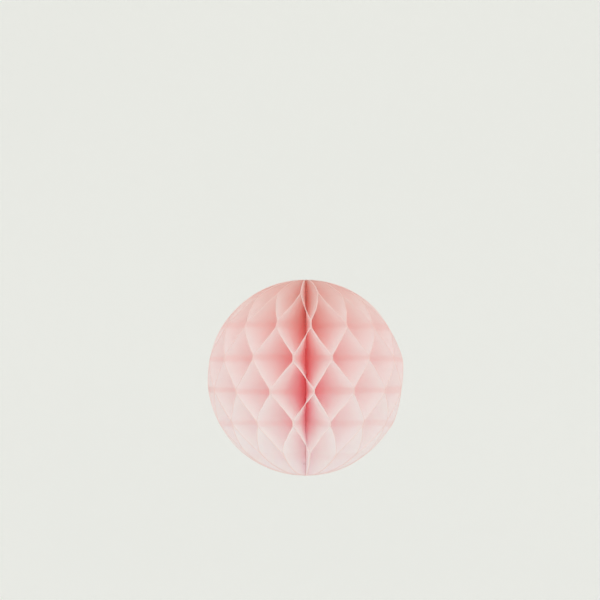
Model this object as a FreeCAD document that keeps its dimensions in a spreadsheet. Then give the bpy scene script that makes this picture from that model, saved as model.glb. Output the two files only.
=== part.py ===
import FreeCAD, Part

import math
import os

import Sketcher

# Paper honeycomb ball, 200 mm across, shown open.
#
# The ball is a pad of half-disc tissue leaves between two half-disc boards. The pad is bound
# along its straight edge, which becomes the ball's vertical axis, and is opened through a full
# turn, so that the leaves stand like a fan and the boards meet back to back. Each leaf is glued
# to one neighbour along the even glue rows and to the other along the odd ones. Opening the fan
# pulls it into a zigzag, and neighbouring zigzags enclose the honeycomb's diamond cells.
#
# Frame: millimetres, origin at the ball's centre, +Z up along the axis. Azimuths are degrees
# about +Z from +X. Each leaf and plate is drawn in its own frame, with X pointing away from the
# axis and Y across the sheet, and is then turned about Z to its place.

os.makedirs("parts", exist_ok=True)

SIZES = [
    ("ball_diameter", 200, "across the open ball"),
    ("leaf_count", 30, "tissue leaves in the full turn"),
    ("paper_thickness", 0.2, "tissue leaf, thicker than real tissue"),
    ("leaf_inner_radius", 2, "axis to a leaf's straight edge"),
    ("cover_leaf_inner_radius", 3.5, "the same for the two leaves beside the boards"),
    ("trim_margin", 2, "paper cut away outside the ball"),
    ("top_row_height", 85, "centre to the middle of the top glue row"),
    ("row_pitch", 32.8, "between the middles of glue rows"),
    ("glue_strip_height", 6, "height of a glued strip"),
    ("seam_azimuth", 94, "where the boards meet, behind the ball"),
    ("board_thickness", 0.4, "cover board"),
    ("board_inner_radius", 5.5, "axis to a board's straight edge"),
    ("adhesive_thickness", 0.1, "double-sided tape between the boards"),
    ("adhesive_width", 12, "tape, away from the axis"),
    ("adhesive_length", 40, "tape, along the axis"),
    ("adhesive_inner_edge", 40, "axis to the tape"),
    ("adhesive_height", 40, "centre to the middle of each tape"),
    ("tie_ring_radius", 8, "axis to the binding thread"),
    ("tie_thread_radius", 0.25, "binding thread"),
    ("tie_hole_radius", 0.6, "punched hole for the thread"),
    ("end_tie_height", 88, "centre to the top and bottom ties"),
    ("middle_tie_height", 3, "centre to the middle tie"),
]

# The glue rows are numbered from the top, and each leaf is glued alternately on its two sides.
GLUE_ROWS = range(6)
TIE_HEIGHTS = {
    "top": "Sizes.end_tie_height",
    "middle": "Sizes.middle_tie_height",
    "bottom": "-1 * Sizes.end_tie_height",
}
ADHESIVE_HEIGHTS = {
    "upper": "Sizes.adhesive_height",
    "lower": "-1 * Sizes.adhesive_height",
}

BALL_RADIUS = "Sizes.ball_diameter / 2"
BLANK_REACH = f"({BALL_RADIUS} + Sizes.trim_margin)"
CUTTER_REACH = f"({BALL_RADIUS} + 2 * Sizes.trim_margin)"
HALF_LEAF_ANGLE = "(180 deg / Sizes.leaf_count)"
BOARD_FACE = "(Sizes.adhesive_thickness / 2 + Sizes.board_thickness)"

doc = FreeCAD.newDocument("honeycomb_ball")


def make_sheet():
    sheet = doc.addObject("Spreadsheet::Sheet", "Sizes")
    for row, (alias, value, meaning) in enumerate(SIZES, 1):
        sheet.set(f"A{row}", alias)
        sheet.set(f"B{row}", str(value))
        sheet.setAlias(f"B{row}", alias)
        sheet.set(f"C{row}", meaning)
    doc.recompute()
    return sheet


def origin_plane(body, role):
    return next(plane for plane in body.Origin.OriginFeatures if plane.Role == role)


def new_sketch(body, name, role, offset="0"):
    """An empty sketch parallel to one of the body's own planes."""
    sketch = body.newObject("Sketcher::SketchObject", name)
    sketch.AttachmentSupport = [(origin_plane(body, role), "")]
    sketch.MapMode = "FlatFace"
    sketch.setExpression("AttachmentOffset.Base.z", offset)
    return sketch


def located(sketch, point):
    across, up = point
    across_now = float(sketch.evalExpression(across))
    up_now = float(sketch.evalExpression(up))
    return FreeCAD.Vector(across_now, up_now, 0)


def bind(sketch, kind, *elements, expression):
    """Add a dimension and tie its value to the sheet."""
    value = float(sketch.evalExpression(expression))
    index = sketch.addConstraint(Sketcher.Constraint(kind, *elements, value))
    sketch.setExpression(f"Constraints[{index}]", expression)


def bind_point(sketch, edge, end, point):
    """Fix one end of an edge at (across, up) from the sketch's origin."""
    across, up = point
    bind(sketch, "DistanceX", -1, 1, edge, end, expression=across)
    bind(sketch, "DistanceY", -1, 1, edge, end, expression=up)


def add_path(sketch, points):
    """Straight edges through points given as (across, up) expressions. The two ends of the path
    are left for the caller to fix. Returns the edges."""
    places = [located(sketch, point) for point in points]
    lines = [Part.LineSegment(start, end) for start, end in zip(places, places[1:])]
    edges = sketch.addGeometry(lines, False)
    for before, after in zip(edges, edges[1:]):
        sketch.addConstraint(Sketcher.Constraint("Coincident", before, 2, after, 1))
    for edge, point in zip(edges[1:], points[1:-1]):
        bind_point(sketch, edge, 1, point)
    return edges


def add_polygon(sketch, points):
    edges = add_path(sketch, points + points[:1])
    sketch.addConstraint(Sketcher.Constraint("Coincident", edges[-1], 2, edges[0], 1))
    bind_point(sketch, edges[0], 1, points[0])


def add_path_closed_by_rim(sketch, points):
    """A path whose ends lie on the ball's outline, closed by that outline's arc. The path's
    first point is the upper one."""
    edges = add_path(sketch, points)
    radius = float(sketch.evalExpression(BALL_RADIUS))
    upper, lower = located(sketch, points[0]), located(sketch, points[-1])
    circle = Part.Circle(FreeCAD.Vector(0, 0, 0), FreeCAD.Vector(0, 0, 1), radius)
    arc = Part.ArcOfCircle(circle, math.atan2(lower.y, lower.x), math.atan2(upper.y, upper.x))
    rim = sketch.addGeometry(arc, False)
    sketch.addConstraint(Sketcher.Constraint("Coincident", rim, 3, -1, 1))
    sketch.addConstraint(Sketcher.Constraint("Coincident", edges[-1], 2, rim, 1))
    sketch.addConstraint(Sketcher.Constraint("Coincident", edges[0], 1, rim, 2))
    bind(sketch, "Radius", rim, expression=BALL_RADIUS)
    bind(sketch, "DistanceX", -1, 1, edges[0], 1, expression=points[0][0])
    bind(sketch, "DistanceX", -1, 1, edges[-1], 2, expression=points[-1][0])


def turned(piece, azimuth):
    """Turn a finished piece about the ball's axis to its azimuth."""
    angle = float(piece.evalExpression(azimuth))
    axis = FreeCAD.Vector(0, 0, 1)
    piece.Placement = FreeCAD.Placement(FreeCAD.Vector(0, 0, 0), FreeCAD.Rotation(axis, angle))
    piece.setExpression("Placement.Rotation.Angle", f"({azimuth}) * 1 deg")
    return piece


def punch_tie_holes(body, name):
    """Round holes for the binding thread, right through a leaf or board."""
    sketch = new_sketch(body, f"{name}_tie_hole_outline", "XZ_Plane")
    for height in TIE_HEIGHTS.values():
        centre = located(sketch, ("Sizes.tie_ring_radius", height))
        radius = float(sketch.evalExpression("Sizes.tie_hole_radius"))
        hole = sketch.addGeometry(Part.Circle(centre, FreeCAD.Vector(0, 0, 1), radius), False)
        bind_point(sketch, hole, 3, ("Sizes.tie_ring_radius", height))
        bind(sketch, "Radius", hole, expression="Sizes.tie_hole_radius")
    pocket = body.newObject("PartDesign::Pocket", f"{name}_tie_holes")
    pocket.Profile = sketch
    pocket.Type = "ThroughAll"
    pocket.Midplane = True


def leaf_sides(number, distance):
    """Where the leaf may reach across, low and high, at a distance from the axis: the board's
    face beside a board, and otherwise the plane half-way to the next leaf."""
    half_way = f"{distance} * tan{HALF_LEAF_ANGLE}"
    beside_board = f"({half_way} - {BOARD_FACE} / cos{HALF_LEAF_ANGLE})"
    low = beside_board if number == 1 else half_way
    high = beside_board if number == LEAF_COUNT else half_way
    return f"-1 * {low}", high


def zigzag_outline(number, distance):
    """The leaf's section at a distance from the axis, as a closed ribbon of (across, up)."""
    low_side, high_side = leaf_sides(number, distance)
    low_run = []
    high_run = []
    for row in GLUE_ROWS:
        middle = f"Sizes.top_row_height - {row} * Sizes.row_pitch"
        top = BLANK_REACH if row == GLUE_ROWS[0] else f"{middle} + Sizes.glue_strip_height / 2"
        bottom = f"-1 * {BLANK_REACH}" if row == GLUE_ROWS[-1] else f"{middle} - Sizes.glue_strip_height / 2"
        glued_high = (number + row) % 2 == 0
        low = f"{high_side} - Sizes.paper_thickness" if glued_high else low_side
        high = high_side if glued_high else f"{low_side} + Sizes.paper_thickness"
        low_run += [(low, top), (low, bottom)]
        high_run += [(high, top), (high, bottom)]
    return low_run + high_run[::-1]


def make_leaf(number):
    """A tissue leaf: a zigzag that widens evenly with distance from the axis, cut to the ball."""
    name = f"tissue_leaf_{number:02d}"
    body = doc.addObject("PartDesign::Body", name)
    body.Label = name
    beside_board = number in (1, LEAF_COUNT)
    inner = "Sizes.cover_leaf_inner_radius" if beside_board else "Sizes.leaf_inner_radius"
    inner_sketch = new_sketch(body, f"{name}_inner_section", "YZ_Plane", inner)
    add_polygon(inner_sketch, zigzag_outline(number, inner))
    outer_sketch = new_sketch(body, f"{name}_outer_section", "YZ_Plane", BLANK_REACH)
    add_polygon(outer_sketch, zigzag_outline(number, BLANK_REACH))

    blank = body.newObject("PartDesign::AdditiveLoft", f"{name}_blank")
    blank.Profile = inner_sketch
    blank.Sections = [outer_sketch]
    blank.Ruled = True
    doc.recompute()

    cutter = new_sketch(body, f"{name}_cutter_outline", "XZ_Plane")
    corners = [
        ("0", BALL_RADIUS),
        ("0", CUTTER_REACH),
        (CUTTER_REACH, CUTTER_REACH),
        (CUTTER_REACH, f"-1 * {CUTTER_REACH}"),
        ("0", f"-1 * {CUTTER_REACH}"),
        ("0", f"-1 * {BALL_RADIUS}"),
    ]
    add_path_closed_by_rim(cutter, corners)
    round_rim = body.newObject("PartDesign::Groove", f"{name}_round_rim")
    round_rim.Profile = cutter
    round_rim.ReferenceAxis = (cutter, ["V_Axis"])
    round_rim.Angle = 360
    doc.recompute()

    punch_tie_holes(body, name)
    return turned(body, f"Sizes.seam_azimuth + ({number} - 0.5) * 360 / Sizes.leaf_count")


def make_plate(name, side, start, thickness, draw):
    """A flat plate in the seam. It starts at a distance from the seam plane, and thickens
    towards the side given as +1 or -1."""
    body = doc.addObject("PartDesign::Body", name)
    body.Label = name
    # the sketch plane's normal points along -Y
    sketch = new_sketch(body, f"{name}_outline", "XZ_Plane", f"{-side} * {start}")
    draw(sketch)
    plate = body.newObject("PartDesign::Pad", f"{name}_plate")
    plate.Profile = sketch
    plate.setExpression("Length", thickness)
    plate.Reversed = side > 0
    doc.recompute()
    return turned(body, "Sizes.seam_azimuth")


def draw_half_disc(sketch):
    """A half-disc whose straight edge stands off the axis by the board's inner radius."""
    tip = f"sqrt(({BALL_RADIUS}) ^ 2 - Sizes.board_inner_radius ^ 2)"
    straight_edge = [("Sizes.board_inner_radius", tip), ("Sizes.board_inner_radius", f"-1 * {tip}")]
    add_path_closed_by_rim(sketch, straight_edge)


def make_board(name, side):
    start = "Sizes.adhesive_thickness / 2"
    board = make_plate(name, side, start, "Sizes.board_thickness", draw_half_disc)
    punch_tie_holes(board, name)
    return board


def make_adhesive_strip(name, height):
    inner = "Sizes.adhesive_inner_edge"
    outer = f"{inner} + Sizes.adhesive_width"
    top = f"{height} + Sizes.adhesive_length / 2"
    bottom = f"{height} - Sizes.adhesive_length / 2"

    def draw_strip(sketch):
        add_polygon(sketch, [(inner, bottom), (outer, bottom), (outer, top), (inner, top)])

    start = "-1 * Sizes.adhesive_thickness / 2"
    return make_plate(name, 1, start, "Sizes.adhesive_thickness", draw_strip)


def make_tie(name, height):
    """A loop of thread through every leaf and board, ringing the axis."""
    tie = doc.addObject("Part::Torus", name)
    tie.Label = name
    tie.setExpression("Radius1", "Sizes.tie_ring_radius")
    tie.setExpression("Radius2", "Sizes.tie_thread_radius")
    tie.setExpression("Placement.Base.z", height)
    return tie


def check(pieces):
    for item in doc.Objects:
        if "Invalid" in item.State or "Error" in item.State:
            raise RuntimeError(f"{item.Name} did not compute: {item.State}")
    for piece in pieces:
        if piece.Shape.isNull() or not piece.Shape.isValid() or len(piece.Shape.Solids) != 1:
            raise RuntimeError(f"{piece.Label} is not one valid solid")


def check_cuts(body):
    """Each cut must take material away."""
    volumes = [feature.Shape.Volume for feature in body.Group if feature.isDerivedFrom("PartDesign::Feature")]
    if any(after >= before for before, after in zip(volumes, volumes[1:])):
        raise RuntimeError(f"a cut in {body.Label} removes nothing")


sheet = make_sheet()
LEAF_COUNT = int(sheet.leaf_count)

leaves = [make_leaf(number) for number in range(1, LEAF_COUNT + 1)]
boards = [make_board("fixed_cover_board", 1), make_board("moving_cover_board", -1)]
strips = [make_adhesive_strip(f"adhesive_strip_{place}", height) for place, height in ADHESIVE_HEIGHTS.items()]
ties = [make_tie(f"binding_tie_{place}", height) for place, height in TIE_HEIGHTS.items()]
doc.recompute()

pieces = leaves + boards + strips + ties
check(pieces)
for body in leaves + boards:
    check_cuts(body)
for piece in pieces:
    piece.Shape.exportStep(f"parts/{piece.Label}.step")
    print(f"{piece.Label}: {piece.Shape.Volume:.1f} mm3")
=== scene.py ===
"""Paper honeycomb ball, 200 mm across, shown open and hanging in front of a pale backdrop.

Metres, in the CAD frame: origin at the ball's centre, +Z up along its axis. Azimuths are degrees
about +Z from +X. Each sheet is drawn in its own frame, with x pointing away from the axis, y across
the sheet and z up, and is then turned to its azimuth.
"""

import math

import bpy
import numpy as np
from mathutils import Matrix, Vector


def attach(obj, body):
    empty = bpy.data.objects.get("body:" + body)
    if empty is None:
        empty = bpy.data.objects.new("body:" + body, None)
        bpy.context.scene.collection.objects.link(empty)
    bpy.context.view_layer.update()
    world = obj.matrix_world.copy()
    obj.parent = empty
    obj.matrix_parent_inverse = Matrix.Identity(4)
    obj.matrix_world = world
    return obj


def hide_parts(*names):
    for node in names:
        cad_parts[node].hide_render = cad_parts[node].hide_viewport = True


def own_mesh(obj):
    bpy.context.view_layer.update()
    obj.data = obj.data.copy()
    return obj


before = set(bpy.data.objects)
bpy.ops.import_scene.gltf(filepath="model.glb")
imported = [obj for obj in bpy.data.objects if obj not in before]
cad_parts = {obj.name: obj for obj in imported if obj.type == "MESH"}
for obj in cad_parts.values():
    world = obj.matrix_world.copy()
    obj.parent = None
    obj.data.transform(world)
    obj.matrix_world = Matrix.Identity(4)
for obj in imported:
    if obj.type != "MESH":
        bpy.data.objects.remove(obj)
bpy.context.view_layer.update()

MM = 0.001

# The ball, as the CAD model has it
BALL_RADIUS = 100 * MM
LEAF_COUNT = 30
SEAM_AZIMUTH = 94
FAN_STEP = 360 / LEAF_COUNT
HALF_STEP_TAN = math.tan(math.radians(FAN_STEP / 2))
TOP_ROW_HEIGHT = 85 * MM
ROW_PITCH = 32.8 * MM
GLUE_ROWS = range(6)
FRONT_PLANE = 15
STRIP_HALF_HEIGHT = 3 * MM
TIE_RADIUS = 8 * MM
TIE_HOLE_RADIUS = 0.6 * MM
TIE_HEIGHTS = {"top": 88 * MM, "middle": 3 * MM, "bottom": -88 * MM}

# Cover boards and the tape between them
BOARD_THICKNESS = 0.4 * MM
BOARD_INNER_RADIUS = 5.5 * MM
BOARD_EDGE_ROUNDING = 0.12 * MM
BOARD_EDGE_SHARE = 0.35
TAPE_THICKNESS = 0.1 * MM
TAPE_INNER_EDGE = 40 * MM
TAPE_WIDTH = 12 * MM
TAPE_LENGTH = 40 * MM
TAPE_HEIGHTS = {"upper": 40 * MM, "lower": -40 * MM}
BOARD_FACE = TAPE_THICKNESS / 2 + BOARD_THICKNESS

# Tissue
PAPER_HALF_THICKNESS = 0.05 * MM
RIM_EXTRA_HALF_THICKNESS = 0.22 * MM
RIM_BAND = 0.8 * MM
RIM_ROUNDING = 0.15 * MM
RIM_ROUNDING_SHARE = 0.45
THINNEST_HALF = 0.02 * MM
GLUE_GAP = 0.008 * MM
LEAF_INNER_RADIUS = 1.2 * MM
COVER_LEAF_INNER_RADIUS = 3.5 * MM
BEND_ROUNDING = 2.2 * MM

draw = np.random.default_rng(20)


def smooth_step(value, low, high):
    share = np.clip((value - low) / (high - low), 0, 1)
    return share * share * (3 - 2 * share)


# ---------------------------------------------------------------- camera

CAMERA_DISTANCE = 2.2
VIEW_WIDTH_AT_BALL = 0.614
SENSOR_WIDTH = 36
FARTHEST_SEEN = 100
AIM = Vector((-0.0059, 0, 0.0793))


def make_camera():
    data = bpy.data.cameras.new("camera")
    data.sensor_width = SENSOR_WIDTH
    data.lens = SENSOR_WIDTH * CAMERA_DISTANCE / VIEW_WIDTH_AT_BALL
    data.clip_end = FARTHEST_SEEN
    camera = bpy.data.objects.new("camera", data)
    camera.location = (0, -CAMERA_DISTANCE, 0)
    camera.rotation_euler = (AIM - camera.location).to_track_quat("-Z", "Y").to_euler()
    bpy.context.collection.objects.link(camera)
    bpy.context.scene.camera = camera


# ---------------------------------------------------------------- thin sheets

# Columns run out from the axis: two before the tie holes, three at them, two after them, then the
# evenly spaced middle ones, then those that crowd towards the rim
HOLE_COLUMNS = np.array([-1, 0, 1]) * TIE_HOLE_RADIUS + TIE_RADIUS
HOLE_MIDDLE_COLUMN = 3
NEAR_COLUMNS = np.array([10.5, 13.5]) * MM
CROWDED_REACH = 20 * MM
MIDDLE_COLUMNS = 15
RIM_COLUMNS = np.array([1.6, 0.8, 0.5, 0.3, 0.12, 0]) * MM
RIM_COLUMN_SHARES = np.array([0.3, 0.22, 0.16, 0.1, 0.05, 0])
ROW_ANGLES = np.radians(np.linspace(1.5, 178.5, 130))
LEAST_ROW_GAP = 0.4 * MM
TIP_WIDTH = 0.4 * MM
SHARP_ANGLE = math.radians(50)


def spaced(fixed, others, least):
    """The fixed values with those others that leave at least that gap, in order."""
    kept = list(fixed)
    for value in others:
        if all(abs(value - other) >= least for other in kept):
            kept.append(value)
    return np.array(sorted(kept))


def half_disc_grid(inner, bends):
    """Rows and columns of points (x, z) over a half-disc whose straight edge is at inner. Rows
    follow the bends, and both follow the tie holes. Returns x, z and the holes' grid places."""
    tip = math.sqrt(BALL_RADIUS ** 2 - (inner + TIP_WIDTH) ** 2)
    hole_rows = [
        height + side * TIE_HOLE_RADIUS
        for height in TIE_HEIGHTS.values()
        for side in (-1, 0, 1)
    ]
    others = np.concatenate([bends, BALL_RADIUS * np.cos(ROW_ANGLES)])
    others = others[np.abs(others) < tip - LEAST_ROW_GAP]
    heights = spaced(hole_rows + [-tip, tip], others, LEAST_ROW_GAP)

    reach = np.sqrt(BALL_RADIUS ** 2 - heights ** 2)[:, None]
    near = np.concatenate([[inner, (inner + HOLE_COLUMNS[0]) / 2], HOLE_COLUMNS, NEAR_COLUMNS])
    crowding = np.minimum(1, (reach - inner) / (CROWDED_REACH - inner))
    near_x = inner + (near[None, :] - inner) * crowding
    start = near_x[:, -1:]
    rim_x = reach - np.minimum(RIM_COLUMNS * BALL_RADIUS / reach, RIM_COLUMN_SHARES * (reach - start))
    share = np.linspace(0, 1, MIDDLE_COLUMNS + 2)[None, 1:-1]
    middle_x = start + (rim_x[:, :1] - start) * share
    x = np.concatenate([near_x, middle_x, rim_x], axis=1)
    z = np.repeat(heights[:, None], x.shape[1], axis=1)

    holes = []
    corner = TIE_HOLE_RADIUS / math.sqrt(2)
    for height in TIE_HEIGHTS.values():
        row = int(np.argmin(np.abs(heights - height)))
        holes.append((row, HOLE_MIDDLE_COLUMN))
        for up in (-1, 1):
            for out in (-1, 1):
                x[row + up, HOLE_MIDDLE_COLUMN + out] = TIE_RADIUS + out * corner
                z[row + up, HOLE_MIDDLE_COLUMN + out] = height + up * corner
    return x, z, holes


def grid_normals(points):
    """A unit normal at every point of a grid of points."""
    across = np.gradient(points, axis=1)
    up = np.gradient(points, axis=0)
    normals = np.cross(across, up)
    return normals / np.linalg.norm(normals, axis=2, keepdims=True)


def turned(points, azimuth):
    """Points of a sheet's own frame, turned about the ball's axis to its azimuth."""
    cosine = math.cos(math.radians(azimuth))
    sine = math.sin(math.radians(azimuth))
    x, y, z = points[..., 0], points[..., 1], points[..., 2]
    return np.stack([x * cosine - y * sine, x * sine + y * cosine, z], -1)


def mesh_object(name, points, faces):
    """A smooth-shaded mesh, kept sharp along its real edges."""
    mesh = bpy.data.meshes.new(name)
    mesh.from_pydata(points.tolist(), [], faces)
    mesh.validate()
    mesh.update()
    mesh.shade_smooth()
    mesh.set_sharp_from_angle(angle=SHARP_ANGLE)
    piece = bpy.data.objects.new(name, mesh)
    bpy.context.collection.objects.link(piece)
    return piece


def store(piece, name, values):
    """Keep a number or a vector at every vertex, for the materials to read."""
    kind, field = ("FLOAT_VECTOR", "vector") if values.ndim == 2 else ("FLOAT", "value")
    attribute = piece.data.attributes.new(name, kind, "POINT")
    attribute.data.foreach_set(field, values.astype(np.float32).ravel())


def thin_solid(name, centre, half_thickness, azimuth, holes, facts):
    """A closed thin solid round a grid of centre points, open at the holes. Each fact is a grid of
    values that the materials read."""
    rows, columns = half_thickness.shape
    offset = grid_normals(centre) * half_thickness[..., None]
    front = turned(centre + offset, azimuth).reshape(-1, 3)
    back = turned(centre - offset, azimuth).reshape(-1, 3)

    number = np.arange(rows * columns).reshape(rows, columns)
    corners = np.stack([number[:-1, :-1], number[:-1, 1:], number[1:, 1:], number[1:, :-1]], -1)
    keep = np.ones((rows - 1, columns - 1), bool)
    for row, column in holes:
        keep[row - 1:row + 1, column - 1:column + 1] = False
    quads = corners[keep]

    used = np.unique(quads)
    place = np.full(rows * columns, -1)
    place[used] = np.arange(len(used))
    quads = place[quads]
    count = len(used)

    edges = np.concatenate([quads[:, [a, (a + 1) % 4]] for a in range(4)])
    there = {tuple(edge) for edge in edges.tolist()}
    border = [edge for edge in edges.tolist() if (edge[1], edge[0]) not in there]
    walls = [(b, a, a + count, b + count) for a, b in border]
    faces = quads.tolist() + (quads[:, ::-1] + count).tolist() + walls

    piece = mesh_object(name, np.concatenate([front[used], back[used]]), faces)
    for fact, grid in facts.items():
        flat = grid.reshape(rows * columns, -1)[used]
        flat = flat[:, 0] if grid.ndim == 2 else flat
        store(piece, fact, np.concatenate([flat, flat]))
    return piece


# ---------------------------------------------------------------- tissue leaves

TOP_ROW_LIFT = 2 * MM
STRIP_SHIFT = 1.1 * MM
STRIP_HEIGHT_CHANGE = 0.7 * MM
STRIP_LEAN = math.radians(1.0)
FRONT_CELL_PINCH = math.radians(2.7)
BOW = 0.7 * MM
WAVE_COUNT = 7
WAVE_LENGTHS = (11 * MM, 45 * MM)
WAVE_HEIGHT = 0.14 * MM
RUFFLE_HEIGHT = 0.12 * MM
RUFFLE_LENGTH = 9 * MM
RUFFLE_BAND = 6 * MM
RELIEF_REACH = (12 * MM, 60 * MM)
ROUNDING_STEPS = np.linspace(-1, 1, 9)
ROUNDING_WEIGHTS = 1.05 - np.abs(ROUNDING_STEPS)
BEND_ROWS = np.array([0, -1, 1, -0.5, 0.5]) * BEND_ROUNDING
GLUE_FADE = (0.8, 1.2)
TEXTURE_SHIFT = 0.37


def draw_strips():
    """A middle height, half height and lean for the glued strip at each fan plane and row. Plane n
    lies between leaves n and n + 1, and the first and last planes are the boards'. The two top
    strips beside the front plane lean towards it, so the topmost front cell is narrow."""
    strips = {}
    for plane in range(LEAF_COUNT + 1):
        at_board = plane in (0, LEAF_COUNT)
        for row in GLUE_ROWS:
            shift, change, lean = draw.uniform(-1, 1, 3)
            lift = TOP_ROW_LIFT if row == 0 else 0
            middle = TOP_ROW_HEIGHT - row * ROW_PITCH + lift + shift * STRIP_SHIFT
            half = STRIP_HALF_HEIGHT + change * STRIP_HEIGHT_CHANGE
            lean = 0 if at_board else lean * STRIP_LEAN
            if row == 0 and abs(FRONT_PLANE - plane) == 1:
                lean = (FRONT_PLANE - plane) * FRONT_CELL_PINCH
            strips[plane, row] = (middle, half, lean)
    return strips


def glued_side(number, row):
    """The side of a leaf that is glued along a row: +1 towards the next leaf, -1 towards the last."""
    return 1 if (number + row) % 2 == 0 else -1


def strip_of(number, row, strips):
    """The strip that a leaf is glued along at a row, at the plane on that side of the leaf."""
    return strips[number if glued_side(number, row) > 0 else number - 1, row]


def leaf_bends(number, strips):
    """The leaf's strips from the bottom up, as heights, sides (-1 or +1) and leans. Past its outer
    strips the leaf keeps their side to the poles."""
    heights, sides, leans = [], [], []
    for row in reversed(GLUE_ROWS):
        middle, half, lean = strip_of(number, row, strips)
        heights += [middle - half, middle + half]
        sides += [glued_side(number, row)] * 2
        leans += [lean] * 2
    return np.array(heights), np.array(sides, float), np.array(leans)


def rounded(z, heights, values):
    """Values that run straight between the bends, with the corners rounded."""
    total = np.zeros_like(z)
    for step, weight in zip(ROUNDING_STEPS, ROUNDING_WEIGHTS):
        total += weight * np.interp(z + step * BEND_ROUNDING, heights, values)
    return total / ROUNDING_WEIGHTS.sum()


def ripples(x, z):
    """Slow waves in random directions over a sheet, about one wave height up and down."""
    total = np.zeros_like(x)
    for _ in range(WAVE_COUNT):
        heading, phase, place = draw.uniform(0, 1, 3)
        length = WAVE_LENGTHS[0] + place * (WAVE_LENGTHS[1] - WAVE_LENGTHS[0])
        along = x * math.cos(math.pi * heading) + z * math.sin(math.pi * heading)
        total += np.sin(2 * math.pi * (along / length + phase))
    return total * WAVE_HEIGHT


def leaf_room(number, x):
    """How far a leaf may go each way: to the planes it shares with its neighbours or the boards."""
    board_share = BOARD_FACE / math.cos(math.radians(FAN_STEP / 2))
    low = -x * HALF_STEP_TAN + (board_share if number == 1 else 0)
    high = x * HALF_STEP_TAN - (board_share if number == LEAF_COUNT else 0)
    return low, high


def leaf_half_thickness(from_rim, room):
    """Half the paper's thickness: a little more at the cut rim, whose very edge is rounded off."""
    swell = 1 - smooth_step(from_rim, RIM_ROUNDING, RIM_BAND)
    round_off = RIM_ROUNDING_SHARE * (1 - smooth_step(from_rim, 0, RIM_ROUNDING))
    half_thickness = PAPER_HALF_THICKNESS + RIM_EXTRA_HALF_THICKNESS * swell
    half_thickness = half_thickness * (1 - round_off)
    return np.minimum(half_thickness, np.maximum(room / 2 - GLUE_GAP, THINNEST_HALF))


def leaf_relief(x, z, heights, from_rim):
    """How far a leaf's panels stand off a straight zigzag: bows, slow waves and a faint rim ruffle."""
    bows = draw.uniform(-1, 1, len(heights) + 1)
    bow = bows[np.searchsorted(heights, z)] * BOW
    ruffle_phase = draw.uniform(0, 2 * math.pi)
    ruffle = np.sin(2 * math.pi * z / RUFFLE_LENGTH + ruffle_phase)
    ruffle = ruffle * (1 - smooth_step(from_rim, 0, RUFFLE_BAND))
    return bow + ripples(x, z) + RUFFLE_HEIGHT * ruffle


def glue_marks(number, strips, z):
    """1 where a leaf is glued, fading to 0 at its strips' edges."""
    glued = np.zeros_like(z)
    for row in GLUE_ROWS:
        middle, half, _ = strip_of(number, row, strips)
        faded = smooth_step(np.abs(z - middle), half * GLUE_FADE[0], half * GLUE_FADE[1])
        glued = np.maximum(glued, 1 - faded)
    return glued


def make_leaf(number, strips):
    """A tissue leaf: a zigzag that widens with distance from the axis, each panel a little bowed."""
    beside_board = number in (1, LEAF_COUNT)
    inner = COVER_LEAF_INNER_RADIUS if beside_board else LEAF_INNER_RADIUS
    heights, sides, leans = leaf_bends(number, strips)
    x, z, holes = half_disc_grid(inner, (heights[:, None] + BEND_ROWS).T.ravel())

    low, high = leaf_room(number, x)
    from_rim = BALL_RADIUS - np.hypot(x, z)
    half_thickness = leaf_half_thickness(from_rim, high - low)
    side = rounded(z, heights, sides)
    lean = rounded(z, heights, leans)
    free = 1 - side ** 2
    relief = leaf_relief(x, z, heights, from_rim) * smooth_step(x, *RELIEF_REACH) * free
    y = (low + high) / 2 + side * ((high - low) / 2 - half_thickness - GLUE_GAP) + lean * x + relief

    facts = {
        "sheet_place": np.stack([x, np.full_like(x, number * TEXTURE_SHIFT), z], -1),
        "from_rim": from_rim,
        "glued": glue_marks(number, strips, z),
    }
    azimuth = SEAM_AZIMUTH + (number - 0.5) * FAN_STEP
    centre = np.stack([x, y, z], -1)
    leaf = thin_solid(f"paper_leaf_{number:02d}", centre, half_thickness, azimuth, holes, facts)

    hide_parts(f"tissue_leaf_{number:02d}")
    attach(leaf, f"leaf_{number:02d}")
    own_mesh(leaf)
    return leaf


# ---------------------------------------------------------------- boards and tape


def make_board(side):
    """A half-disc cover board with rounded edges, flat against the seam."""
    name = "fixed_cover_board" if side > 0 else "moving_cover_board"
    x, z, holes = half_disc_grid(BOARD_INNER_RADIUS, np.array([]))
    from_rim = BALL_RADIUS - np.hypot(x, z)
    from_edge = np.minimum(from_rim, x - BOARD_INNER_RADIUS)
    sunk = 1 - smooth_step(from_edge, 0, BOARD_EDGE_ROUNDING)
    half_thickness = BOARD_THICKNESS / 2 * (1 - BOARD_EDGE_SHARE * sunk)
    y = np.full_like(x, side * (TAPE_THICKNESS + BOARD_THICKNESS) / 2)
    facts = {"sheet_place": np.stack([x, np.full_like(x, side), z], -1), "from_edge": from_edge}
    centre = np.stack([x, y, z], -1)
    board = thin_solid(f"card_{name}", centre, half_thickness, SEAM_AZIMUTH, holes, facts)
    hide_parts(name)
    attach(board, "spine_and_fixed_cover" if side > 0 else "moving_cover")
    return board


TOOTH_COUNT = 12
TOOTH_DEPTH = 0.7 * MM
TAPE_ROWS = 41


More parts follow.
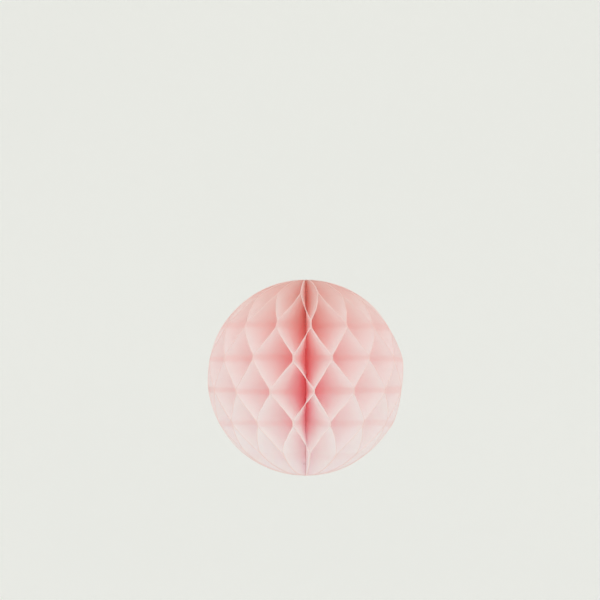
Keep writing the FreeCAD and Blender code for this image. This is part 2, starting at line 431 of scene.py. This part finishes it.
def make_tape(place, height):
    """A strip of double-sided tape, with the saw-toothed ends that a dispenser cuts."""
    columns = 2 * TOOTH_COUNT + 1
    share = np.linspace(0, 1, columns)
    tooth = TOOTH_DEPTH * (np.arange(columns) % 2)
    up = np.linspace(-1, 1, TAPE_ROWS)[:, None]
    x = TAPE_INNER_EDGE + TAPE_WIDTH * np.repeat(share[None, :], TAPE_ROWS, axis=0)
    z = height + up * (TAPE_LENGTH / 2 - tooth[None, :])
    centre = np.stack([x, np.zeros_like(x), z], -1)
    half_thickness = np.full_like(x, TAPE_THICKNESS / 2)
    facts = {"sheet_place": np.stack([x, np.full_like(x, height), z], -1)}
    tape = thin_solid(f"tape_strip_{place}", centre, half_thickness, SEAM_AZIMUTH, [], facts)
    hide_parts(f"adhesive_strip_{place}")
    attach(tape, "spine_and_fixed_cover")
    return tape


# ---------------------------------------------------------------- binding thread

PLIES = 2
PLY_RADIUS = 0.135 * MM
PLY_OFFSET = 0.115 * MM
TWISTS = 44
STEPS_PER_TWIST = 10
PLY_SIDES = 8
KNOT_SCALE = 0.1 * MM
KNOT_STEPS = 72
OFF_EVERY_PATH = [0.31, 0.17, 0.93]
PLY_TEXTURE_SHIFT = 0.1


def closed_tube(path, radius, sides):
    """Points and faces of a tube round a closed path."""
    ahead = np.roll(path, -1, axis=0) - np.roll(path, 1, axis=0)
    ahead /= np.linalg.norm(ahead, axis=1, keepdims=True)
    side = np.cross(ahead, OFF_EVERY_PATH)
    side /= np.linalg.norm(side, axis=1, keepdims=True)
    up = np.cross(side, ahead)
    angle = np.linspace(0, 2 * math.pi, sides, endpoint=False)[None, :, None]
    points = path[:, None] + radius * (side[:, None] * np.cos(angle) + up[:, None] * np.sin(angle))
    steps = len(path)
    faces = []
    for step in range(steps):
        for turn in range(sides):
            here, there = step * sides, (step + 1) % steps * sides
            after = (turn + 1) % sides
            faces.append((here + turn, there + turn, there + after, here + after))
    return points.reshape(-1, 3), faces


def ply_path(ply):
    """One ply of the thread, wound round the tie's ring."""
    turn = np.linspace(0, 2 * math.pi, TWISTS * STEPS_PER_TWIST, endpoint=False)
    wind = turn * TWISTS + ply * 2 * math.pi / PLIES
    out = TIE_RADIUS + PLY_OFFSET * np.cos(wind)
    return np.stack([out * np.cos(turn), out * np.sin(turn), PLY_OFFSET * np.sin(wind)], -1)


def knot_path():
    """A small tight trefoil knot that closes the ring inside the fixed board's hole."""
    turn = np.linspace(0, 2 * math.pi, KNOT_STEPS, endpoint=False)
    out = np.sin(turn) + 2 * np.sin(2 * turn)
    along = -np.sin(3 * turn)
    up = np.cos(turn) - 2 * np.cos(2 * turn)
    loop = np.stack([out, along, up], -1)
    return turned(loop * KNOT_SCALE + [TIE_RADIUS, BOARD_FACE / 2, 0], SEAM_AZIMUTH)


def make_tie(place, height):
    """A loop of two-ply thread through every leaf and board."""
    points, faces, along = [], [], []
    count = 0
    for number, path in enumerate([ply_path(ply) for ply in range(PLIES)] + [knot_path()]):
        tube, tube_faces = closed_tube(path, PLY_RADIUS, PLY_SIDES)
        steps = np.linalg.norm(np.roll(path, -1, axis=0) - path, axis=1)
        run = np.repeat(np.concatenate([[0], np.cumsum(steps)[:-1]]), PLY_SIDES)
        turn = np.tile(np.arange(PLY_SIDES) / PLY_SIDES, len(path))
        points.append(tube + [0, 0, height])
        faces += [tuple(corner + count for corner in face) for face in tube_faces]
        along.append(np.stack([run, turn * MM, np.full_like(run, number * PLY_TEXTURE_SHIFT)], -1))
        count += len(tube)
    tie = mesh_object(f"thread_tie_{place}", np.concatenate(points), faces)
    store(tie, "thread_place", np.concatenate(along))
    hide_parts(f"binding_tie_{place}")
    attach(tie, "spine_and_fixed_cover")
    return tie


# ---------------------------------------------------------------- materials


class Paint:
    """A node material under construction."""

    def __init__(self, name):
        self.material = bpy.data.materials.new(name)
        self.material.use_nodes = True
        self.tree = self.material.node_tree
        self.tree.nodes.clear()

    def node(self, kind, settings=None, **sockets):
        """Add a node. Each socket is given by its name, or by i and its number, as a value or a link."""
        made = self.tree.nodes.new(kind)
        for key, value in (settings or {}).items():
            setattr(made, key, value)
        for key, value in sockets.items():
            place = int(key[1:]) if key[1:].isdigit() else key.replace("_", " ")
            self.plug(made.inputs[place], value)
        return made

    def plug(self, socket, value):
        if isinstance(value, bpy.types.NodeSocket):
            self.tree.links.new(value, socket)
        else:
            socket.default_value = value

    def fact(self, name, output="Fac"):
        """A value that the mesh keeps at every vertex."""
        return self.node("ShaderNodeAttribute", {"attribute_name": name}).outputs[output]

    def math(self, operation, a, b=0.0):
        return self.node("ShaderNodeMath", {"operation": operation}, i0=a, i1=b).outputs[0]

    def ramp(self, value, span, result=(0.0, 1.0)):
        """The value's place in a span, as a smooth step between two results."""
        made = self.node(
            "ShaderNodeMapRange",
            {"interpolation_type": "SMOOTHSTEP"},
            Value=value,
            From_Min=span[0],
            From_Max=span[1],
            To_Min=result[0],
            To_Max=result[1],
        )
        return made.outputs["Result"]

    def scaled(self, vector, scale):
        return self.node("ShaderNodeVectorMath", {"operation": "MULTIPLY"}, i0=vector, i1=scale).outputs[0]

    def noise(self, vector, scale, detail=3.0, roughness=0.55):
        made = self.node(
            "ShaderNodeTexNoise",
            Vector=vector,
            Scale=scale,
            Detail=detail,
            Roughness=roughness,
        )
        return made.outputs["Fac"]

    def stretched_noise(self, vector, scale, detail=3.0, roughness=0.55):
        """Noise whose grain has its own size along each axis."""
        return self.noise(self.scaled(vector, scale), 1.0, detail, roughness)

    def blend(self, share, first, second):
        made = self.node("ShaderNodeMix", {"data_type": "RGBA"}, i0=share, i6=first, i7=second)
        return made.outputs[2]

    def bump(self, height, strength, distance):
        made = self.node("ShaderNodeBump", Height=height, Strength=strength, Distance=distance)
        return made.outputs["Normal"]

    def principled(self, **sockets):
        return self.node("ShaderNodeBsdfPrincipled", **sockets).outputs[0]

    def finish(self, shader):
        self.node("ShaderNodeOutputMaterial", Surface=shader)
        return self.material


# Noise scales are repeats per metre. A span is the part of a noise's values that a change is spread
# over, and a band is a stretch of distance or height that it is spread over
MIDDLE_NOISE = (0.35, 0.65)
WIDE_NOISE = (0.3, 0.7)

TISSUE_WARM = (1.0, 0.998, 0.994, 1)
TISSUE_COOL = (1.0, 0.992, 1.0, 1)
# Painted shade: the pink that the tissue deepens to inside the ball, where the cells are deep. The pulp's
# random mottling also leans towards it.
TISSUE_INNER_SHADE_AND_MOTTLE = (1.0, 0.910, 0.930, 1)
# Painted shade: the tissue darker towards the top of the ball and paler at the bottom
TISSUE_TOP_PAINTED_SHADE = (1.0, 0.946, 0.944, 1)
# Painted shade: the tissue darker still at the crown, where the cells are narrow and deep
TISSUE_CROWN_PAINTED_SHADE = (0.985, 0.905, 0.885, 1)
TISSUE_RIM = (1.0, 0.89, 0.87, 1)
TISSUE_GLUED = (1.0, 0.93, 0.925, 1)
DYE_SCALE = 95.0
CLOUD_SCALE = 260.0
TISSUE_FIBRE_SCALE = (1500, 500, 260)
CREPE_SCALE = (900, 300, 55)
CLOUD_SPAN = (0.35, 0.68)
FIBRE_SPAN = (0.35, 0.70)
CLOUD_TINT = (-0.04, 0.10)
FIBRE_TINT = (-0.03, 0.08)
CREPE_TINT = (-0.03, 0.05)
# Painted shade: how far in from the rim the tissue deepens inside the ball, and by how much
PAINTED_INNER_SHADE_BAND = (30 * MM, 80 * MM)
PAINTED_INNER_SHADE_SHARE = 0.9
# Painted shade: the heights over which the tissue darkens towards the top
PAINTED_TOP_SHADE_BAND = (-90 * MM, 80 * MM)
# Painted shade: the heights over which the crown darkens further
PAINTED_CROWN_SHADE_BAND = (35 * MM, 95 * MM)
RIM_COLOUR_BAND = (0.1 * MM, 1.1 * MM)
RIM_COLOUR_SHARE = 0.75
GLUE_SPAN = (0.3, 0.6)
GLUE_SHOWS = (0.25, 0.6)
GLUE_PALES_BAND = (-85 * MM, -10 * MM)
GLUE_PALES_SHARE = (0.25, 1.0)
TISSUE_ROUGHNESS = (0.74, 0.92)
FIBRE_RELIEF_SHARE = 0.5
TISSUE_BUMP = (0.5, 0.2 * MM)
TISSUE_LIGHT_THROUGH = 0.52


def tissue_colour_and_painted_shade(paint, place, dye, clouds, fibres, crepe):
    """Pink with painted shade that deepens it inside the ball, where the cells are deep, and towards its
    top, most at the crown; deeper at the glue, with a marked cut rim. The glue shows less towards the
    bottom."""
    from_rim = paint.fact("from_rim")
    # Painted shade, deepening the pink in from the rim where the cells are deep
    painted_inner_shade = paint.ramp(from_rim, PAINTED_INNER_SHADE_BAND, (0.0, PAINTED_INNER_SHADE_SHARE))
    cloudy = paint.ramp(clouds, CLOUD_SPAN, CLOUD_TINT)
    flecked = paint.ramp(fibres, FIBRE_SPAN, FIBRE_TINT)
    streaked = paint.ramp(crepe, MIDDLE_NOISE, CREPE_TINT)
    texture = paint.math("ADD", paint.math("ADD", cloudy, flecked), streaked)
    shade_and_mottle = paint.math("ADD", painted_inner_shade, texture)
    pale = paint.blend(paint.ramp(dye, MIDDLE_NOISE), TISSUE_WARM, TISSUE_COOL)
    # Blend towards the deep pink: painted inner shade plus the pulp's random mottling
    colour = paint.blend(shade_and_mottle, pale, TISSUE_INNER_SHADE_AND_MOTTLE)
    height = paint.node("ShaderNodeSeparateXYZ", i0=place).outputs["Z"]
    # Painted shade: darker towards the top of the ball, paler at the bottom
    colour = paint.blend(paint.ramp(height, PAINTED_TOP_SHADE_BAND), colour, TISSUE_TOP_PAINTED_SHADE)
    # Painted shade: darker still at the crown
    colour = paint.blend(paint.ramp(height, PAINTED_CROWN_SHADE_BAND), colour, TISSUE_CROWN_PAINTED_SHADE)
    glue = paint.math("MULTIPLY", paint.fact("glued"), paint.ramp(clouds, GLUE_SPAN, GLUE_SHOWS))
    glue = paint.math("MULTIPLY", glue, paint.ramp(height, GLUE_PALES_BAND, GLUE_PALES_SHARE))
    colour = paint.blend(glue, colour, TISSUE_GLUED)
    rim = paint.ramp(from_rim, RIM_COLOUR_BAND, (RIM_COLOUR_SHARE, 0.0))
    return paint.blend(rim, colour, TISSUE_RIM)


def tissue_material():
    """Thin pink tissue that lets light through, with cloudy pulp, fibres and fine upright crepe."""
    paint = Paint("tissue_paper")
    place = paint.fact("sheet_place", "Vector")
    dye = paint.noise(place, DYE_SCALE, detail=3.0)
    clouds = paint.noise(place, CLOUD_SCALE, detail=4.0)
    fibres = paint.stretched_noise(place, TISSUE_FIBRE_SCALE, detail=4.0, roughness=0.6)
    crepe = paint.stretched_noise(place, CREPE_SCALE, detail=2.0)
    colour = tissue_colour_and_painted_shade(paint, place, dye, clouds, fibres, crepe)

    relief = paint.math("ADD", crepe, paint.math("MULTIPLY", fibres, FIBRE_RELIEF_SHARE))
    normal = paint.bump(relief, *TISSUE_BUMP)
    rough = paint.ramp(fibres, WIDE_NOISE, TISSUE_ROUGHNESS)
    face = paint.principled(Base_Color=colour, Roughness=rough, Normal=normal, Specular_IOR_Level=0.2)
    through = paint.node("ShaderNodeBsdfTranslucent", Color=colour, Normal=normal).outputs[0]
    thin = paint.node("ShaderNodeMixShader", i0=TISSUE_LIGHT_THROUGH, i1=face, i2=through).outputs[0]
    return paint.finish(thin)


BOARD_FACE_COLOUR = (0.93, 0.74, 0.72, 1)
BOARD_FLECK_COLOUR = (0.88, 0.64, 0.61, 1)
BOARD_CORE_COLOUR = (0.86, 0.78, 0.73, 1)
BOARD_PULP_SCALE = 420.0
BOARD_FIBRE_SCALE = (350, 1, 1400)
BOARD_FIBRE_SHARE = 0.6
BOARD_FLECK_SPAN = (0.65, 1.0)
BOARD_CORE_BAND = (0.02 * MM, 0.1 * MM)
BOARD_ROUGHNESS = (0.6, 0.8)
BOARD_BUMP = (0.3, 0.08 * MM)


def board_material():
    """Dyed card: short pulp fibres on the faces, and a greyer core where the edges are cut."""
    paint = Paint("cover_card")
    place = paint.fact("sheet_place", "Vector")
    pulp = paint.noise(place, BOARD_PULP_SCALE, detail=6.0, roughness=0.65)
    fibres = paint.stretched_noise(place, BOARD_FIBRE_SCALE, detail=5.0, roughness=0.6)
    mixed = paint.math("ADD", pulp, paint.math("MULTIPLY", fibres, BOARD_FIBRE_SHARE))
    colour = paint.blend(paint.ramp(mixed, BOARD_FLECK_SPAN), BOARD_FACE_COLOUR, BOARD_FLECK_COLOUR)
    core = paint.ramp(paint.fact("from_edge"), BOARD_CORE_BAND, (1.0, 0.0))
    colour = paint.blend(core, colour, BOARD_CORE_COLOUR)
    normal = paint.bump(paint.math("ADD", pulp, fibres), *BOARD_BUMP)
    rough = paint.ramp(pulp, WIDE_NOISE, BOARD_ROUGHNESS)
    face = paint.principled(Base_Color=colour, Roughness=rough, Normal=normal, Specular_IOR_Level=0.3)
    return paint.finish(face)


TAPE_COLOUR = (0.86, 0.83, 0.72, 1)
TAPE_BUBBLE_COLOUR = (0.93, 0.92, 0.86, 1)
TAPE_BUBBLE_SCALE = 700.0
TAPE_BUBBLE_SPAN = (0.1, 0.4)
TAPE_HAZE_SCALE = 180.0
TAPE_ROUGHNESS = (0.22, 0.4)
TAPE_BUMP = (0.25, 0.03 * MM)


def tape_material():
    """Milky double-sided tape, with small trapped bubbles."""
    paint = Paint("double_sided_tape")
    place = paint.fact("sheet_place", "Vector")
    cells = paint.node("ShaderNodeTexVoronoi", Vector=place, Scale=TAPE_BUBBLE_SCALE).outputs["Distance"]
    bubbles = paint.ramp(cells, TAPE_BUBBLE_SPAN, (1.0, 0.0))
    haze = paint.noise(place, TAPE_HAZE_SCALE, detail=3.0)
    shown = paint.math("MULTIPLY", bubbles, haze)
    colour = paint.blend(shown, TAPE_COLOUR, TAPE_BUBBLE_COLOUR)
    normal = paint.bump(bubbles, *TAPE_BUMP)
    rough = paint.ramp(haze, WIDE_NOISE, TAPE_ROUGHNESS)
    return paint.finish(paint.principled(Base_Color=colour, Roughness=rough, Normal=normal))


THREAD_COLOUR = (0.86, 0.80, 0.76, 1)
THREAD_SHADE_COLOUR = (0.66, 0.57, 0.53, 1)
THREAD_FIBRE_SCALE = (900, 9000, 300)
THREAD_ROUGHNESS = (0.75, 0.95)
THREAD_BUMP = (0.5, 0.04 * MM)
THREAD_SHEEN = 0.3


def thread_material():
    """Cotton thread, with fibres that run along each ply."""
    paint = Paint("cotton_thread")
    place = paint.fact("thread_place", "Vector")
    fibres = paint.stretched_noise(place, THREAD_FIBRE_SCALE, detail=4.0, roughness=0.6)
    colour = paint.blend(paint.ramp(fibres, WIDE_NOISE), THREAD_COLOUR, THREAD_SHADE_COLOUR)
    normal = paint.bump(fibres, *THREAD_BUMP)
    rough = paint.ramp(fibres, WIDE_NOISE, THREAD_ROUGHNESS)
    return paint.finish(
        paint.principled(Base_Color=colour, Roughness=rough, Normal=normal, Sheen_Weight=THREAD_SHEEN)
    )


# ---------------------------------------------------------------- stage and light

BACKDROP_COLOUR = (0.97, 0.972, 0.955, 1)
BACKDROP_HAZE_COLOUR = (0.8, 0.8, 0.8, 1)
BACKDROP_HAZE_SHARE = 0.04
BACKDROP_HAZE_SCALE = 0.8
WORLD_COLOUR = (0.865, 0.872, 0.855, 1)
WORLD_STRENGTH = 0.973
FLOOR_HEIGHT = -0.45
FLOOR_RADIUS = 1.6
SWEEP_RADIUS = 1.6
WALL_TOP = 2.4
SWEEP_STEPS = 16
BACKDROP_SIDES = 96
KEY_LIGHT_PLACE = (0.3, -1.8, 1.5)
KEY_LIGHT_SIZE = 1.8
KEY_LIGHT_POWER = 4
MOST_BOUNCES = 128
MOST_DIFFUSE_BOUNCES = 96


def bowl_outline():
    """Radii and heights of the backdrop's rings: the floor's edge, the sweep and the wall's top."""
    turn = np.linspace(0, math.pi / 2, SWEEP_STEPS)
    radii = [FLOOR_RADIUS / 2, *(FLOOR_RADIUS + SWEEP_RADIUS * np.sin(turn)), FLOOR_RADIUS + SWEEP_RADIUS]
    heights = [FLOOR_HEIGHT, *(FLOOR_HEIGHT + SWEEP_RADIUS * (1 - np.cos(turn))), WALL_TOP]
    return radii, heights


def backdrop_material():
    """Matt paper with a faint uneven tone."""
    paint = Paint("backdrop_paper")
    place = paint.node("ShaderNodeTexCoord").outputs["Object"]
    haze = paint.noise(place, BACKDROP_HAZE_SCALE, detail=2.0)
    share = paint.ramp(haze, WIDE_NOISE, (0.0, BACKDROP_HAZE_SHARE))
    colour = paint.blend(share, BACKDROP_COLOUR, BACKDROP_HAZE_COLOUR)
    return paint.finish(paint.principled(Base_Color=colour, Roughness=0.95, Specular_IOR_Level=0.0))


def make_backdrop():
    """A round floor that sweeps up into a wall on every side, open to the sky."""
    angle = np.linspace(0, 2 * math.pi, BACKDROP_SIDES, endpoint=False)
    rings = []
    for radius, height in zip(*bowl_outline()):
        across, along = radius * np.cos(angle), radius * np.sin(angle)
        rings.append(np.stack([across, along, np.full_like(angle, height)], -1))
    points = np.concatenate([[[0, 0, FLOOR_HEIGHT]]] + rings)
    faces = []
    for side in range(BACKDROP_SIDES):
        after = (side + 1) % BACKDROP_SIDES
        faces.append((0, 1 + side, 1 + after))
        for ring in range(len(rings) - 1):
            low, high = 1 + ring * BACKDROP_SIDES, 1 + (ring + 1) * BACKDROP_SIDES
            faces.append((low + side, high + side, high + after, low + after))
    backdrop = mesh_object("backdrop", points, faces)
    backdrop.data.materials.append(backdrop_material())


def make_key_light():
    """One large soft light, in front of the ball and above it."""
    data = bpy.data.lights.new("key_light", "AREA")
    data.shape = "DISK"
    data.size = KEY_LIGHT_SIZE
    data.energy = KEY_LIGHT_POWER
    light = bpy.data.objects.new("key_light", data)
    light.location = KEY_LIGHT_PLACE
    light.rotation_euler = (-Vector(KEY_LIGHT_PLACE)).to_track_quat("-Z", "Y").to_euler()
    bpy.context.collection.objects.link(light)


def make_world():
    """Even pale light from every side."""
    world = bpy.data.worlds.new("soft_world")
    world.use_nodes = True
    background = world.node_tree.nodes["Background"]
    background.inputs["Color"].default_value = WORLD_COLOUR
    background.inputs["Strength"].default_value = WORLD_STRENGTH
    bpy.context.scene.world = world


def set_light_paths():
    """Light bounces many times inside the cells, and colours are shown as they are."""
    scene = bpy.context.scene
    scene.cycles.max_bounces = MOST_BOUNCES
    scene.cycles.diffuse_bounces = MOST_DIFFUSE_BOUNCES
    scene.cycles.transmission_bounces = MOST_BOUNCES
    scene.view_settings.view_transform = "Standard"


# ---------------------------------------------------------------- the scene

make_camera()
glue_strips = draw_strips()
tissue = tissue_material()
card = board_material()
tape_finish = tape_material()
cotton = thread_material()
for leaf_number in range(1, LEAF_COUNT + 1):
    make_leaf(leaf_number, glue_strips).data.materials.append(tissue)
for board_side in (1, -1):
    make_board(board_side).data.materials.append(card)
for tape_place, tape_height in TAPE_HEIGHTS.items():
    make_tape(tape_place, tape_height).data.materials.append(tape_finish)
for tie_place, tie_height in TIE_HEIGHTS.items():
    make_tie(tie_place, tie_height).data.materials.append(cotton)

make_backdrop()
make_world()
make_key_light()
set_light_paths()
